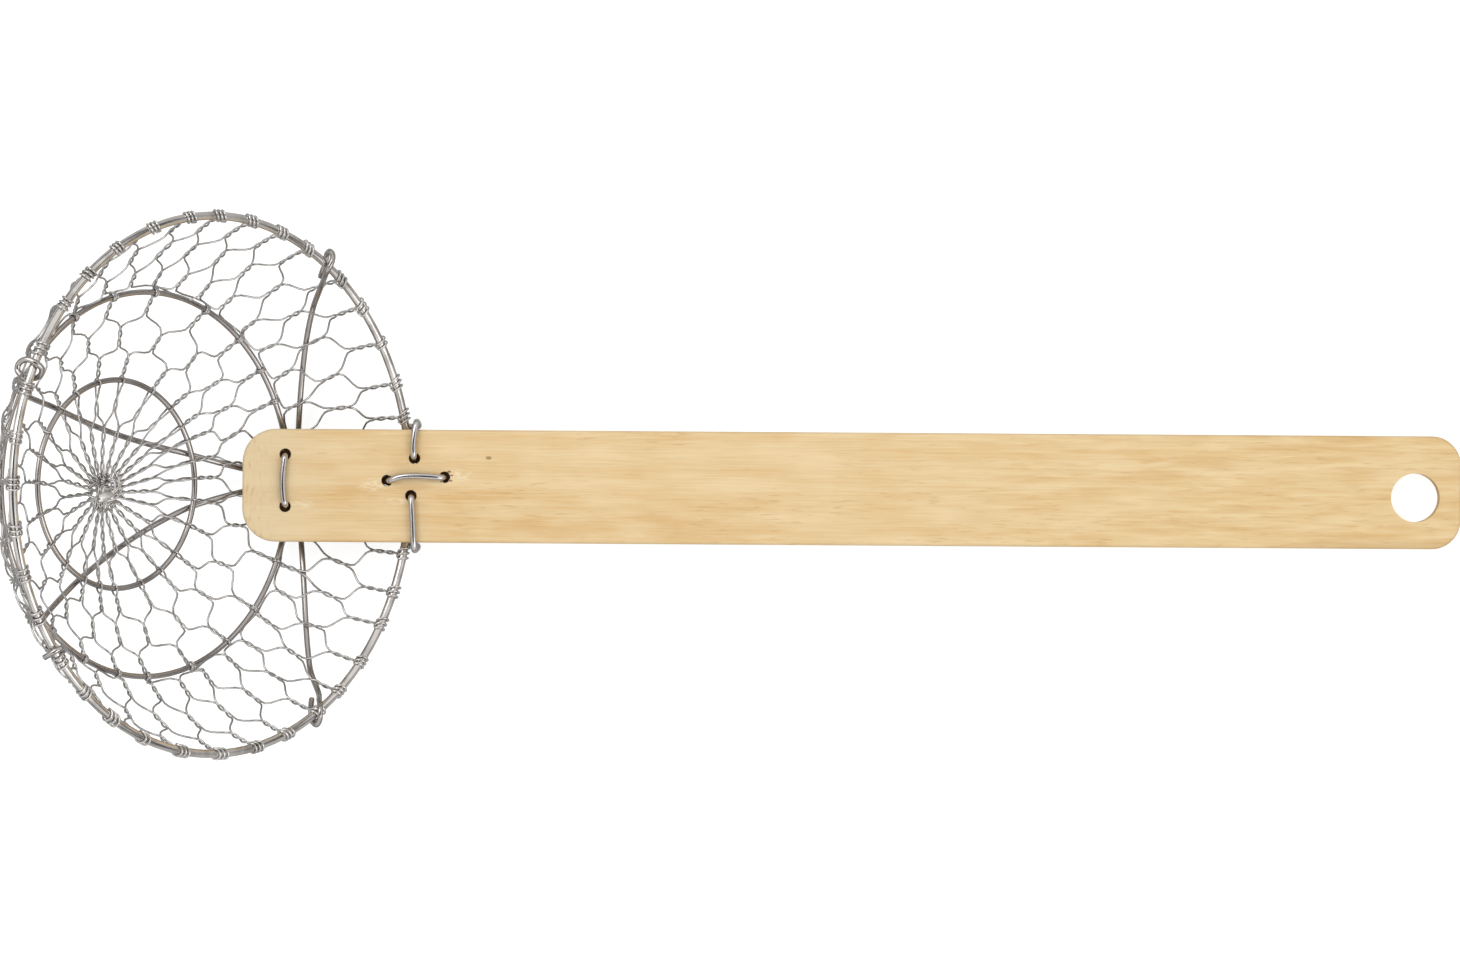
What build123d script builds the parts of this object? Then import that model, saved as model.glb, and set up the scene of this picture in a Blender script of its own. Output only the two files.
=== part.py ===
from build123d import *
from bisect import bisect_right
from math import asin, atan2, cos, hypot, pi, radians, sin, sqrt
import os

# A spider skimmer: a hand-knotted wire bowl stitched to a flat bamboo handle.
# It lies as it rests on a table: X runs along the handle to its far end, Z is up, and the bowl
# opens up and towards the handle. The origin is the middle of the bottom of its box.
# Sizes are in millimetres and degrees.

# Handle
handle_length = 323.6
handle_width = 30.0
handle_thickness = 5.0
tip_corner_radius = 8.8
end_corner_radius = 7.7
handle_edge_round = 0.8
hang_hole_radius = 6.5
hang_hole_inset = 12.1
hang_hole_offset = -1.35

# Bowl frame
rim_radius = 69.0
rim_wire_radius = 1.1
bowl_depth = 43.6
bowl_wall_drop = 15.0
basket_tilt = 48.65
basket_setback = 1.5
rim_seat_gap = 0.1
middle_ring_radius = 50.0
inner_ring_radius = 27.3
ring_wire_radius = 0.75

# Mesh wires
mesh_wire_count = 37
mesh_wire_radius = 0.2
wire_gap = 0.08
first_wire_angle = 5.0
coil_gap = 0.42
coil_turns = 3.5
leg_start_run = 3.4
corner_run = 0.9
ring_flat_run = 1.0
ring_eye_run = 2.1

# Each row of twisted pairs starts and ends at a share of the wall between the rim (0), the
# middle ring (1), the inner ring (2) and the hub (3), and has so many turns before and after
# the ring that it crosses.
row_shares = (
    (None, 0.285, 1.25, 0.0),
    (0.435, 0.615, 1.0, 0.0),
    (0.77, 1.26, 1.25, 0.75),
    (1.405, 1.606, 1.0, 0.0),
    (1.737, 2.324, 0.75, 1.25),
    (2.467, 3.0, 2.0, 0.0),
)

# Braces under the mesh
brace_wire_radius = 0.7
cross_brace_angles = (57.5, -60.2)
cross_brace_lead = 1.6
cross_brace_drop = 1.4
fork_brace_angles = (156.4, -143.5)
fork_brace_drop = 2.2
fork_bend_radius = 1.6
hook_tail = 2.6
hook_gap = 0.1
hook_lead = 3.5

# Stitches that bind the bowl to the handle. A lead is how far a hole or leg lies beyond the
# middle ring or the rim, along the handle.
stitch_wire_radius = 0.775
stitch_bend_radius = 1.2
stitch_hole_radius = 1.5
stitch_tail = 1.2
stitch_rim_gap = 0.24
edge_hook_reach = 0.35
tip_hole_lead = 0.4547
tip_stitch_ys = (8.26, -5.6)
edge_hole_leads = (2.83444, 1.93444)
edge_hole_ys = (7.4, -2.55)
edge_leg_lead = 3.33444
anchor_length = 4.0
rim_staple_leads = (-5.61759, 9.63241)
rim_staple_ys = (1.45, 2.4)

# Hub
hub_half_thickness = 1.1
solder_radius = 1.75
solder_height = 0.6
hub_round_share = 0.85
solder_round_share = 0.8

# Smoothness: sections in each turn of a mesh wire, lofts that make it up, steps in the table
# of the wall, the step that finds a path's direction, and how little bend counts as straight
coil_sections = 10
twist_sections = 6
wire_loft_count = 4
wall_steps = 1200
tangent_step_share = 0.0002
straight_share = 0.00001

# The wall of the bowl is part of an ellipse, tabled by its length down from the rim.
wall_height = bowl_depth + bowl_wall_drop
flatness_share = 1 - (bowl_wall_drop / wall_height) ** 2
wall_width = rim_radius / sqrt(flatness_share)
rim_slope_angle = asin(sqrt(flatness_share))


def wall_at(turn):
    return wall_width * sin(turn), wall_height * cos(turn) - bowl_wall_drop


wall_turns = [rim_slope_angle * (1 - i / wall_steps) for i in range(wall_steps + 1)]
wall_runs = [0.0]
for high, low in zip(wall_turns, wall_turns[1:]):
    (r1, d1), (r2, d2) = wall_at(high), wall_at(low)
    wall_runs.append(wall_runs[-1] + hypot(r2 - r1, d2 - d1))


def turn_at_run(run):
    i = min(max(bisect_right(wall_runs, run) - 1, 0), wall_steps - 1)
    part = (run - wall_runs[i]) / (wall_runs[i + 1] - wall_runs[i])
    return wall_turns[i] + part * (wall_turns[i + 1] - wall_turns[i])


def run_at_radius(radius):
    turn = asin(min(radius / wall_width, 1.0))
    part = (rim_slope_angle - turn) / rim_slope_angle * wall_steps
    i = min(int(part), wall_steps - 1)
    return wall_runs[i] + (part - i) * (wall_runs[i + 1] - wall_runs[i])


def bowl_point(angle, run, above=0.0, aside=0.0):
    """A point at an angle in radians and a run down the wall, then above the wall and aside."""
    turn = turn_at_run(max(run, 0.0))
    radius, depth = wall_at(turn)
    slope = Vector(-wall_width * cos(turn), 0, -wall_height * sin(turn)).normalized()
    inward = Vector(slope.Z, 0, -slope.X)
    point = Vector(radius, 0, -depth) + inward * above + slope * min(run, 0.0)
    across = cos(angle), sin(angle)
    return Vector(
        point.X * across[0] - aside * across[1], point.X * across[1] + aside * across[0], point.Z
    )


def rim_point(angle, round_angle, distance):
    """A point beside the rim wire: 0 is up the wall, and a quarter turn is inside the bowl."""
    return bowl_point(angle, -distance * cos(round_angle), distance * sin(round_angle))


# The basket's own plane has its origin at the rim's centre and its Z axis out of the bowl.
rim_rise = rim_radius - sqrt(rim_radius**2 - (handle_width / 2) ** 2)
tilt = radians(basket_tilt)
rim_centre_z = (rim_radius - rim_rise) * sin(tilt) - handle_thickness - rim_wire_radius - rim_seat_gap
basket = Plane(
    origin=(-basket_setback, 0, rim_centre_z),
    x_dir=(cos(tilt), 0, -sin(tilt)),
    z_dir=(sin(tilt), 0, cos(tilt)),
)

# Round wires: biarcs through stations for the rods, ruled lofts for the thin mesh wires


def stations_along(place, steps):
    """Points of a path, each with its direction, from a function of a share of its length."""
    found = []
    for step in steps:
        before, after = place(step - tangent_step_share), place(step + tangent_step_share)
        found.append((place(step), (after - before).normalized()))
    return found


def biarc_edges(stations):
    edges = []
    for (start, leaving), (end, arriving) in zip(stations, stations[1:]):
        chord = end - start
        both = leaving + arriving
        bend = 2 * (1 - leaving.dot(arriving))
        along = chord.dot(both)
        if bend < straight_share**2:
            reach = chord.dot(chord) / (2 * along)
        else:
            reach = (sqrt(along**2 + bend * chord.dot(chord)) - along) / bend
        first, second = start + leaving * reach, end - arriving * reach
        joint, heading = (first + second) / 2, (second - first).normalized()
        for tail, way, head in ((start, leaving, joint), (joint, heading, end)):
            if way.cross((head - tail).normalized()).length < straight_share:
                edges.append(Edge.make_line(tail, head))
            else:
                edges.append(Edge.make_tangent_arc(tail, way, head))
    return edges


def rod_through(stations, radius, label):
    with BuildPart() as rod:
        with BuildSketch(Plane(origin=stations[0][0], z_dir=stations[0][1])):
            Circle(radius)
        sweep(path=Wire(biarc_edges(stations)))
    rod.part.label = label
    return rod.part


def bent_rod(points, bend_radius, radius, label):
    with BuildPart() as rod:
        with BuildLine():
            path = FilletPolyline(*points, radius=bend_radius)
        with BuildSketch(Plane(origin=path @ 0, z_dir=path % 0)):
            Circle(radius)
        sweep(path=path)
    rod.part.label = label
    return rod.part


def thin_wire(stations, radius):
    """Ruled lofts through round sections, in a few lengths that meet face to face."""
    planes = []
    steady = Vector(0, 0, 1)
    for point, way in stations:
        steady = (steady - way * steady.dot(way)).normalized()
        planes.append(Plane(origin=point, x_dir=steady, z_dir=way))
    stops = [round(len(planes) * i / wire_loft_count) for i in range(wire_loft_count)] + [len(planes) - 1]
    with BuildPart() as wire:
        for first, last in zip(stops, stops[1:]):
            for plane in planes[first : last + 1]:
                with BuildSketch(plane):
                    Circle(radius)
            loft(ruled=True)
    return wire.part


def ring_of(radius, wire_radius, depth, label):
    with BuildPart() as ring:
        with BuildSketch(Plane.XZ):
            with Locations((radius, -depth)):
                Circle(wire_radius)
        revolve(axis=Axis.Z)
    ring.part.label = label
    return ring.part


# The stitches' places follow the middle ring and the rim where they cross the handle.
ring_runs = [run_at_radius(middle_ring_radius), run_at_radius(inner_ring_radius)]
stitch_step = stitch_wire_radius + wire_gap
edge_leg_y = handle_width / 2 + stitch_step


def rim_section(y):
    """Where the rim crosses the plane at Y = y, in the handle's frame."""
    return basket.from_local_coords(Vector(sqrt(rim_radius**2 - y**2), y, 0))


def ring_section(y):
    """Where the middle ring crosses the plane at Y = y, in the handle's frame."""
    return basket.from_local_coords(bowl_point(asin(y / middle_ring_radius), ring_runs[0]))


rim_middle = rim_section(sum(rim_staple_ys) / 2)
rim_edge_x = rim_section(edge_leg_y).X
tip_stitch_x = ring_section(tip_stitch_ys[0]).X + tip_hole_lead
edge_hole_xs = [rim_edge_x + lead for lead in edge_hole_leads]
edge_leg_x = rim_edge_x + edge_leg_lead
rim_staple_xs = [rim_middle.X + lead for lead in rim_staple_leads]

# Handle, with its top face at Z = 0 and its tip at X = 0
stitch_holes = (
    [(tip_stitch_x, y) for y in tip_stitch_ys]
    + list(zip(edge_hole_xs, edge_hole_ys))
    + list(zip(rim_staple_xs, rim_staple_ys))
)

with BuildPart() as handle:
    with BuildSketch():
        with Locations((handle_length / 2, 0)):
            Rectangle(handle_length, handle_width)
        fillet(vertices().group_by(Axis.X)[0], tip_corner_radius)
        fillet(vertices().group_by(Axis.X)[-1], end_corner_radius)
    extrude(amount=-handle_thickness)
    faces_up_and_down = handle.faces().filter_by(Axis.Z)
    fillet(faces_up_and_down.edges(), handle_edge_round)
    with Locations((handle_length - hang_hole_inset, hang_hole_offset, 0)):
        Hole(hang_hole_radius)
    with Locations(*stitch_holes):
        Hole(stitch_hole_radius)
handle.part.label = "handle"

# Rim and rings
rim_ring = ring_of(rim_radius, rim_wire_radius, 0, "rim_ring")
middle_ring = ring_of(
    middle_ring_radius, ring_wire_radius, -bowl_point(0, ring_runs[0]).Z, "middle_ring"
)
inner_ring = ring_of(
    inner_ring_radius, ring_wire_radius, -bowl_point(0, ring_runs[1]).Z, "inner_ring"
)

# Mesh wires: each is one wire, coiled round the rim at its middle, with two legs that twist
# round each other; between two sections a wire runs straight, and is clear there too
twist_radius = (mesh_wire_radius + wire_gap / 2) / cos(pi / twist_sections)
pair_width = 2 * (twist_radius + mesh_wire_radius)
mesh_end_radius = mesh_wire_count * (pair_width + wire_gap) / (2 * pi)
anchors = [0.0, *ring_runs, run_at_radius(mesh_end_radius)]
half_step = pi / mesh_wire_count
coil_pitch = 2 * mesh_wire_radius + coil_gap
coil_radius = (rim_wire_radius + mesh_wire_radius + wire_gap) / cos(pi / coil_sections)
eye_radius = ring_wire_radius + mesh_wire_radius + 2 * wire_gap


def run_of(share):
    span = min(int(share), len(anchors) - 2)
    return anchors[span] + (share - span) * (anchors[span + 1] - anchors[span])


class Row:
    """One row of twisted pairs; the legs of neighbouring pairs part below it."""

    def __init__(self, number, start, end, turns_before, turns_after):
        self.start = leg_start_run if start is None else run_of(start)
        self.end = run_of(end)
        self.number = number
        self.turns = turns_before + turns_after
        self.ring_run = ring_runs[int(end) - 1] if turns_after else None
        self.stops = [(self.start, 0.0), (self.end, self.turns)]
        if turns_after:
            flat = (self.ring_run - ring_flat_run, turns_before), (
                self.ring_run + ring_flat_run, turns_before
            )
            self.stops[1:1] = flat

    def turn(self, run):
        for (run1, turn1), (run2, turn2) in zip(self.stops, self.stops[1:]):
            if run <= run2:
                return turn1 + (turn2 - turn1) * (run - run1) / (run2 - run1)
        return self.turns

    def reach(self, run):
        """How far a strand stands from the middle of its pair: further out at a ring."""
        if self.ring_run is None or abs(run - self.ring_run) > ring_eye_run:
            return twist_radius
        swell = (1 + cos(pi * (run - self.ring_run) / ring_eye_run)) / 2
        return twist_radius + (eye_radius - twist_radius) * swell

    def sections(self):
        """Runs at every part of a turn, and at the ring."""
        runs = [self.start]
        for (run1, turn1), (run2, turn2) in zip(self.stops, self.stops[1:]):
            parts = max(2, round(twist_sections * (turn2 - turn1)))
            runs += [run1 + (run2 - run1) * (i + 1) / parts for i in range(parts)]
        return runs


rows = [Row(number, *shares) for number, shares in enumerate(row_shares)]


def strand_point(side, run):
    """The leg on one side of a wire, for a wire at angle 0: side 1 leans to greater angles."""
    row = next((r for r in rows if run <= r.end), rows[-1])
    on_right = 1 if (row.number % 2 == 0) == (side > 0) else -1
    middle = side * half_step * (row.number % 2)
    if run >= row.start or row.number == 0:
        # the first row ends on a whole turn, and the others start on one
        turn = row.turn(run) - (row.turns if row.number == 0 else 0)
        around = 2 * pi * turn
        reach = row.reach(run) * on_right
        return bowl_point(middle, run, reach * sin(around), reach * cos(around))
    above = rows[row.number - 1]
    upper = side * half_step * (above.number % 2) - on_right * twist_radius / wall_at(
        turn_at_run(above.end)
    )[0]
    lower = middle + on_right * twist_radius / wall_at(turn_at_run(row.start))[0]
    part = (run - above.end) / (row.start - above.end)
    return bowl_point(upper + (lower - upper) * part, run)


def leg_stations(side):
    runs = []
    for row in rows:
        runs += row.sections()
        if row is not rows[-1]:
            runs += [row.end + corner_run, rows[row.number + 1].start - corner_run]
    length = runs[-1]
    return stations_along(
        lambda share: strand_point(side, min(share * length, length)), [run / length for run in runs]
    )


def coil_place(share):
    """Round the rim, from the outer side over the top to the inner side, and on."""
    round_angle = 2 * pi * coil_turns * share - pi / 2
    drift = coil_pitch * coil_turns * (0.5 - share)
    return rim_point(drift / rim_radius, round_angle, coil_radius)


coil_steps = round(coil_turns * coil_sections)
coil_stations = stations_along(coil_place, [i / coil_steps for i in range(coil_steps + 1)])
wire_stations = (
    [(point, way * -1) for point, way in reversed(leg_stations(1))]
    + coil_stations
    + leg_stations(-1)
)
coil_points = [point for point, way in coil_stations]
coil_gap = min(
    (near - far).length
    for i, near in enumerate(coil_points)
    for far in coil_points[i + coil_sections // 2 :]
)
print("coil's least gap to itself", round(coil_gap - 2 * mesh_wire_radius, 3))

mesh_wire = thin_wire(wire_stations, mesh_wire_radius)

# Hub: the ends of the wires, wound into a knot under a drop of solder
hub_radius = mesh_end_radius - wire_gap
with BuildPart() as hub_knot:
    Cylinder(hub_radius, 2 * hub_half_thickness)
    fillet(hub_knot.edges().filter_by(GeomType.CIRCLE), hub_half_thickness * hub_round_share)
    with Locations((0, 0, hub_half_thickness)):
        Cylinder(solder_radius, 2 * solder_height)
    fillet(hub_knot.edges().sort_by(Axis.Z)[-1], solder_height * solder_round_share)
hub_part = hub_knot.part.moved(Location((0, 0, -bowl_depth)))
hub_part.label = "hub_knot"

# Braces: rods under the mesh, hooked over the rim from outside
hook_radius = rim_wire_radius + brace_wire_radius + hook_gap
cross_brace_reach = middle_ring_radius + cross_brace_lead


def rim_plan(angle):
    return Vector(rim_radius * cos(radians(angle)), rim_radius * sin(radians(angle)), 0)


def under_mesh(plan_point, drop):
    """The point of a rod under the wall, from its place seen straight down into the bowl."""
    run = run_at_radius(hypot(plan_point.X, plan_point.Y))
    return bowl_point(atan2(plan_point.Y, plan_point.X), run, -drop)


def hook_stations(angle):
    """From the tail inside the bowl, over the rim and down its outer side."""
    across = radians(angle)
    tail = bowl_point(across, hook_tail, hook_radius)
    top = rim_point(across, pi / 2, hook_radius)
    found = [(tail, (top - tail).normalized())]
    for quarter in (1, 0, -1):
        spot = rim_point(across, quarter * pi / 2, hook_radius)
        nearby = rim_point(across, quarter * pi / 2 - tangent_step_share, hook_radius)
        found.append((spot, (nearby - spot).normalized()))
    return found


def brace_stations(angles, plan_parts, drop):
    """Both hooks, and the rod between them along the parts of its plan."""
    found = hook_stations(angles[0])
    for plan_edge, parts in plan_parts:
        def place(share, plan_edge=plan_edge):
            return under_mesh(plan_edge.position_at(share), drop)

        first = hook_lead / plan_edge.length if plan_edge is plan_parts[0][0] else 0
        last = 1 - hook_lead / plan_edge.length if plan_edge is plan_parts[-1][0] else 1
        shares = [first + (last - first) * i / parts for i in range(parts + 1)]
        if plan_edge is not plan_parts[0][0]:
            shares = shares[1:]
        found += stations_along(place, shares)
    found += [(point, way * -1) for point, way in reversed(hook_stations(angles[1]))]
    return found


cross_plan = Edge.make_three_point_arc(
    rim_plan(cross_brace_angles[0]), Vector(cross_brace_reach, 0, 0), rim_plan(cross_brace_angles[1])
)
cross_brace = rod_through(
    brace_stations(cross_brace_angles, [(cross_plan, 14)], cross_brace_drop),
    brace_wire_radius, "cross_brace",
)

# The fork is one rod, bent back on itself just short of the cross brace.
fork_ends = [rim_plan(angle) for angle in fork_brace_angles]
fork_reach = cross_brace_reach - 2 * brace_wire_radius - hook_gap
fork_half_angle = sum(abs(atan2(end.Y, fork_reach - end.X)) for end in fork_ends) / 2
fork_corner = Vector(fork_reach + fork_bend_radius * (1 / sin(fork_half_angle) - 1), 0, 0)
fork_plan = FilletPolyline(fork_ends[0], fork_corner, fork_ends[1], radius=fork_bend_radius).edges()
fork_brace = rod_through(
    brace_stations(
        fork_brace_angles,
        [(fork_plan[0], 9), (fork_plan[1], 4), (fork_plan[2], 9)],
        fork_brace_drop,
    ),
    brace_wire_radius, "fork_brace",
)

# Stitches, in the handle's frame


def tip_leg(y):
    """Down through the handle, past the middle ring, then clenched under it and the brace."""
    ring = ring_section(y)
    along = 0.5 - y / cross_plan.length
    brace = basket.from_local_coords(under_mesh(cross_plan.position_at(along), cross_brace_drop))
    beside = ring.X - ring_wire_radius - stitch_step - wire_gap
    low = brace.Z - brace_wire_radius - stitch_step - hook_gap - wire_gap
    return [
        (brace.X + stitch_tail, y, low),
        (beside, y, low),
        (beside, y, ring.Z + ring_wire_radius),
        (tip_stitch_x, y, -handle_thickness - wire_gap),
        (tip_stitch_x, y, stitch_step),
    ]


tip_legs = [tip_leg(y) for y in tip_stitch_ys]
tip_stitch = bent_rod(
    tip_legs[0] + tip_legs[1][::-1], stitch_bend_radius, stitch_wire_radius, "tip_stitch"
)

clear_of_coil = coil_radius + mesh_wire_radius + stitch_step + stitch_rim_gap
edge_stitches = []
for side, hole_x, hole_y, name in zip(
    (1, -1), edge_hole_xs, edge_hole_ys, ("edge_stitch_left", "edge_stitch_right")
):
    edge_y = side * edge_leg_y
    rim = rim_section(edge_y)
    anchor_z = -handle_thickness - stitch_step
    edge_stitches.append(
        bent_rod(
            [
                (hole_x + anchor_length, hole_y, anchor_z),
                (hole_x, hole_y, anchor_z),
                (hole_x, hole_y, stitch_step),
                (edge_leg_x, edge_y, stitch_step),
                (edge_leg_x, edge_y, rim.Z - clear_of_coil),
                (rim.X - edge_hook_reach, edge_y, rim.Z - clear_of_coil),
            ],
            stitch_bend_radius, stitch_wire_radius, name,
        )
    )

staple_low = rim_middle.Z - rim_wire_radius - stitch_step
staple_left, staple_right = zip(rim_staple_xs, rim_staple_ys)
rim_staple = bent_rod(
    [
        (rim_middle.X - stitch_tail / 2, staple_left[1], staple_low),
        (*staple_left, staple_low),
        (*staple_left, stitch_step),
        (*staple_right, stitch_step),
        (*staple_right, staple_low),
        (rim_middle.X + stitch_tail / 2, staple_right[1], staple_low),
    ],
    stitch_bend_radius, stitch_wire_radius, "rim_staple",
)

# At rest the clenched ends of the tip stitch and the handle's far end touch the table.
low_x, low_z = min(((leg[0][0], leg[0][2] - stitch_wire_radius) for leg in tip_legs), key=lambda p: p[1])
end_x, end_z = handle_length - handle_edge_round, handle_edge_round - handle_thickness
span_x, span_z = end_x - low_x, low_z - end_z
rest_tilt = -asin(handle_edge_round / hypot(span_x, span_z)) - atan2(span_z, span_x)

lean = Location((0, 0, 0), (0, rest_tilt * 180 / pi, 0))
in_handle_frame = [handle.part, tip_stitch, rim_staple, *edge_stitches]
in_basket_frame = [rim_ring, middle_ring, inner_ring, cross_brace, fork_brace, hub_part]
for i in range(mesh_wire_count):
    angle = first_wire_angle + i * 360 / mesh_wire_count
    wire = mesh_wire.moved(Location((0, 0, 0), (0, 0, angle)))
    wire.label = f"mesh_wire_{i + 1:02d}"
    in_basket_frame.append(wire)

pieces = [piece.moved(lean) for piece in in_handle_frame]
pieces += [piece.moved(lean * basket.location) for piece in in_basket_frame]
boxes = [piece.bounding_box() for piece in pieces]
lowest = min(box.min.Z for box in boxes)
middle_x = (min(box.min.X for box in boxes) + max(box.max.X for box in boxes)) / 2
middle_y = (min(box.min.Y for box in boxes) + max(box.max.Y for box in boxes)) / 2
to_origin = Location((-middle_x, -middle_y, -lowest))

os.makedirs("parts", exist_ok=True)
for piece in pieces:
    placed = piece.moved(to_origin)
    export_step(placed, f"parts/{piece.label}.step")
print("rest tilt", round(rest_tilt * 180 / pi, 3), "shift", to_origin.position)
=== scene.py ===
from bisect import bisect_right
from math import asin, atan2, cos, hypot, pi, radians, sin, sqrt
from random import Random
from typing import NamedTuple

import bmesh
import bpy
from mathutils import Matrix, Vector


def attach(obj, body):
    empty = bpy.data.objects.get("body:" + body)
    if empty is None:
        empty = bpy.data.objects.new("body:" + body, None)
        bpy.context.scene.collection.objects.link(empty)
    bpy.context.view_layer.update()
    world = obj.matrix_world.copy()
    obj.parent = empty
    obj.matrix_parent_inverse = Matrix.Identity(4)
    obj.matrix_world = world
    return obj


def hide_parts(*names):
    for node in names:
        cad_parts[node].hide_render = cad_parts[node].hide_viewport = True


# A spider skimmer lying on a white table, seen from straight above its handle's face.
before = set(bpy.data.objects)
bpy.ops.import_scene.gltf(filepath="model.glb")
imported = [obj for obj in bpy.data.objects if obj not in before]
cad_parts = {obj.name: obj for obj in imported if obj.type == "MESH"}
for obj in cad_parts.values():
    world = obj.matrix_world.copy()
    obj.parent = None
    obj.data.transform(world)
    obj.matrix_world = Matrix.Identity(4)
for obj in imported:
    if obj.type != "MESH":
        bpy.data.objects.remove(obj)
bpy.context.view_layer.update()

MM = 0.001
scene = bpy.context.scene
scene.view_settings.view_transform = "Standard"

# Sizes of the frame, in millimetres and degrees

rest_tilt = 1.824
rest_shift = (-134.752, 0.009, 15.2705)
handle_thickness = 5.0
stitch_hole_radius = 1.5
stitch_holes = (
    (11.4, 8.26), (11.4, -5.6), (45.7, 7.4), (44.8, -2.55), (38.45, 1.45), (53.7, 2.4)
)
rim_radius = 69.0
rim_wire_radius = 1.1
bowl_depth = 43.6
bowl_wall_drop = 15.0
basket_tilt = 48.65
basket_setback = 1.5
rim_centre_z = 44.36
middle_ring_radius = 50.0
inner_ring_radius = 27.3
ring_wire_radius = 0.75
# from the bowl's axis to its hub
hub_shift = Vector((-1.0, -2.2, 0))

handle_to_world = Matrix.Translation(Vector(rest_shift)) @ Matrix.Rotation(
    radians(rest_tilt), 4, "Y"
)
basket_to_handle = Matrix.Translation((-basket_setback, 0, rim_centre_z)) @ Matrix.Rotation(
    radians(basket_tilt), 4, "Y"
)
basket_to_world = handle_to_world @ basket_to_handle

# Camera: straight onto the handle's face, from 1.33 m

photo_width = 1460
focal_pixels = 5000
pixels_per_mm = 3.767
aim_along_handle = 129.5
aim_across_handle = 0.32
camera_roll = 0.38
sensor = 36.0

camera_data = bpy.data.cameras.new("camera")
camera_data.sensor_width = sensor
camera_data.lens = sensor * focal_pixels / photo_width
camera_data.clip_end = 10
camera = bpy.data.objects.new("camera", camera_data)
scene.collection.objects.link(camera)
scene.camera = camera
camera_place = (
    handle_to_world
    @ Matrix.Translation((aim_along_handle, aim_across_handle, focal_pixels / pixels_per_mm))
    @ Matrix.Rotation(radians(camera_roll), 4, "Z")
)
camera_place.translation *= MM
camera.matrix_world = camera_place

# Materials


class Shade:
    """A socket of a material; arithmetic on values adds its Math nodes."""

    def __init__(self, paint, socket):
        self.paint = paint
        self.socket = socket

    def math(self, operation, *others):
        values = dict(enumerate((self, *others)))
        return self.paint.add("ShaderNodeMath", {"operation": operation}, values)

    def __add__(self, other):
        return self.math("ADD", other)

    __radd__ = __add__

    def __sub__(self, other):
        return self.math("SUBTRACT", other)

    def __rsub__(self, other):
        return self.paint.add("ShaderNodeMath", {"operation": "SUBTRACT"}, {0: other, 1: self})

    def __mul__(self, other):
        return self.math("MULTIPLY", other)

    __rmul__ = __mul__

    def __truediv__(self, other):
        return self.math("DIVIDE", other)

    def __pow__(self, other):
        return self.math("POWER", other)

    def step(self, start, end):
        """0 up to start, 1 from end on, smooth between; end may be below start."""
        sockets = {"Value": self, "From Min": start, "From Max": end}
        return self.paint.add("ShaderNodeMapRange", {"interpolation_type": "SMOOTHSTEP"}, sockets)

    def between(self, low, high):
        """From 0 to 1 spread to other limits."""
        return self * (high - low) + low


class Paint:
    """The nodes of a material or of the world."""

    def __init__(self, owner):
        owner.use_nodes = True
        self.owner = owner
        self.tree = owner.node_tree
        self.colour = None

    def put(self, socket, value):
        """Links a shade to a socket, or sets the socket's own value."""
        if isinstance(value, Shade):
            self.tree.links.new(value.socket, socket)
        else:
            socket.default_value = value

    def add(self, kind, settings=None, sockets=None, output=0):
        """A new node's output."""
        node = self.tree.nodes.new(kind)
        for name, value in (settings or {}).items():
            setattr(node, name, value)
        for name, value in (sockets or {}).items():
            self.put(node.inputs[name], value)
        return Shade(self, node.outputs[output])

    def set(self, node="Principled BSDF", **values):
        """Values of a node that is there from the start, by its sockets' names."""
        for name, value in values.items():
            self.put(self.tree.nodes[node].inputs[name.replace("_", " ")], value)

    def lay(self, mask, colour):
        """Lays a colour over the paint's own, where a mask says."""
        # a Mix node's factor and colours are sockets 0, 6 and 7, and its mixed colour is output 2
        sockets = {0: mask, 6: self.colour, 7: (*colour, 1)}
        self.colour = self.add("ShaderNodeMix", {"data_type": "RGBA"}, sockets, output=2)

    def noise(self, where, scale, detail=3.0, roughness=0.5, distortion=0.0):
        """Noise from 0 to 1; its scale along each axis is in cells a millimetre."""
        spread = self.add("ShaderNodeMapping", None, {"Vector": where, "Scale": scale})
        sockets = {
            "Vector": spread, "Scale": 1.0, "Detail": detail,
            "Roughness": roughness, "Distortion": distortion,
        }
        return self.add("ShaderNodeTexNoise", None, sockets)

    def place_in(self, own_to_world):
        """The place in a piece's own frame, in millimetres."""
        sockets = {
            "Vector": self.add("ShaderNodeTexCoord", output="Object"),
            "Location": own_to_world.translation * MM,
            "Rotation": own_to_world.to_euler(),
            "Scale": (MM, MM, MM),
        }
        return self.add("ShaderNodeMapping", {"vector_type": "TEXTURE"}, sockets)

    def parts(self, vector):
        """A vector's x, y and z."""
        node = self.add("ShaderNodeSeparateXYZ", None, {0: vector}).socket.node
        return [Shade(self, output) for output in node.outputs]

    def ray(self, kind):
        """1 for light of one kind and 0 for any other."""
        return self.add("ShaderNodeLightPath", output=kind)

    def bump(self, height, strength, distance):
        sockets = {"Height": height, "Strength": strength, "Distance": distance}
        self.set(Normal=self.add("ShaderNodeBump", None, sockets))


# cells a millimetre of the steel's stains and scratches, and how far above or below the rim a
# wire has its painted highlight colour, in millimetres: none of it, and all of it
stain_cells = (0.16, 0.16, 0.16)
scratch_cells = (3.5, 3.5, 3.5)
wrap_highlight_fade = (2.6, 1.7)


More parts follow.
